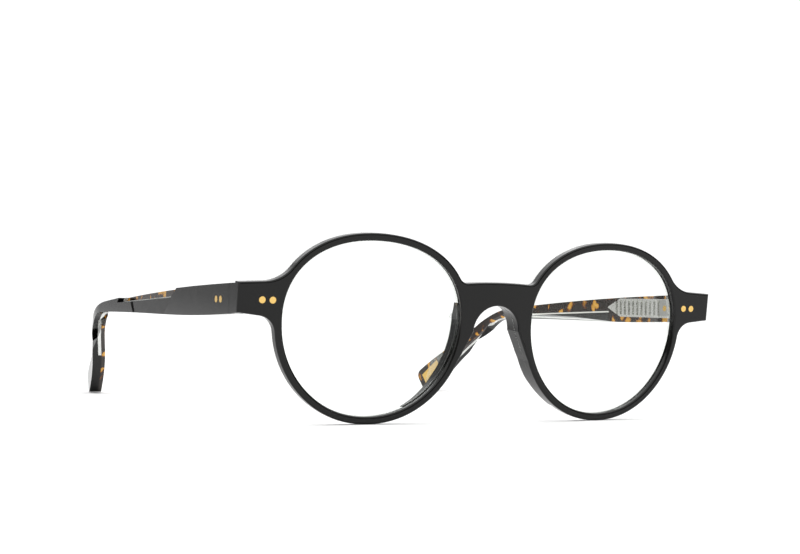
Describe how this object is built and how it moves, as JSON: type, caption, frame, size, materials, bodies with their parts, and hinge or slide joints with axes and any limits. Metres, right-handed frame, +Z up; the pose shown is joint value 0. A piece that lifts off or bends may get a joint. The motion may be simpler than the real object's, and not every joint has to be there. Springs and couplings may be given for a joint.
{
  "type": "round acetate eyeglasses",
  "caption": "Round full-rim eyeglasses in layered acetate: clear lenses, saddle bridge with nose pads, riveted hinges and folding temples with dropped tips.",
  "frame": {"origin": "centre of the bounding box of the open glasses, on the table under the rims and the temple tips", "axes": "+X towards the wearer's left, +Y back along the temples, +Z up from the table"},
  "size_m": [0.1392, 0.144, 0.047],
  "materials": {
    "black_acetate": "polished",
    "crystal_acetate": "polished",
    "tortoise_acetate": "polished",
    "clear_lens": "polished",
    "gold_metal": "polished",
    "hinge_steel": "satin",
    "core_steel": "polished"
  },
  "bodies": {
    "front": {"front_black": "black_acetate", "front_crystal": "crystal_acetate", "left_lens": "clear_lens", "right_lens": "clear_lens", "left_nose_pad": "crystal_acetate", "right_nose_pad": "crystal_acetate", "left_front_hinge": "hinge_steel", "right_front_hinge": "hinge_steel", "left_front_rivets": "gold_metal", "right_front_rivets": "gold_metal", "left_hinge_screw": "hinge_steel", "right_hinge_screw": "hinge_steel"},
    "left_temple": {"left_temple_black": "black_acetate", "left_temple_crystal": "crystal_acetate", "left_temple_tortoise": "tortoise_acetate", "left_core_wire": "core_steel", "left_temple_hinge": "hinge_steel", "left_temple_rivets": "gold_metal", "left_tip_plaque": "gold_metal"},
    "right_temple": {"right_temple_black": "black_acetate", "right_temple_crystal": "crystal_acetate", "right_temple_tortoise": "tortoise_acetate", "right_core_wire": "core_steel", "right_temple_hinge": "hinge_steel", "right_temple_rivets": "gold_metal", "right_tip_plaque": "gold_metal"}
  },
  "joints": [
    {"name": "left_temple_fold", "type": "hinge", "parent": "front", "child": "left_temple", "pos_m": [0.0642, -0.06069, 0.03], "axis": [0, 0, 1], "range_deg": [0, 88]},
    {"name": "right_temple_fold", "type": "hinge", "parent": "front", "child": "right_temple", "pos_m": [-0.0642, -0.06069, 0.03], "axis": [0, 0, -1], "range_deg": [0, 72]}
  ]
}
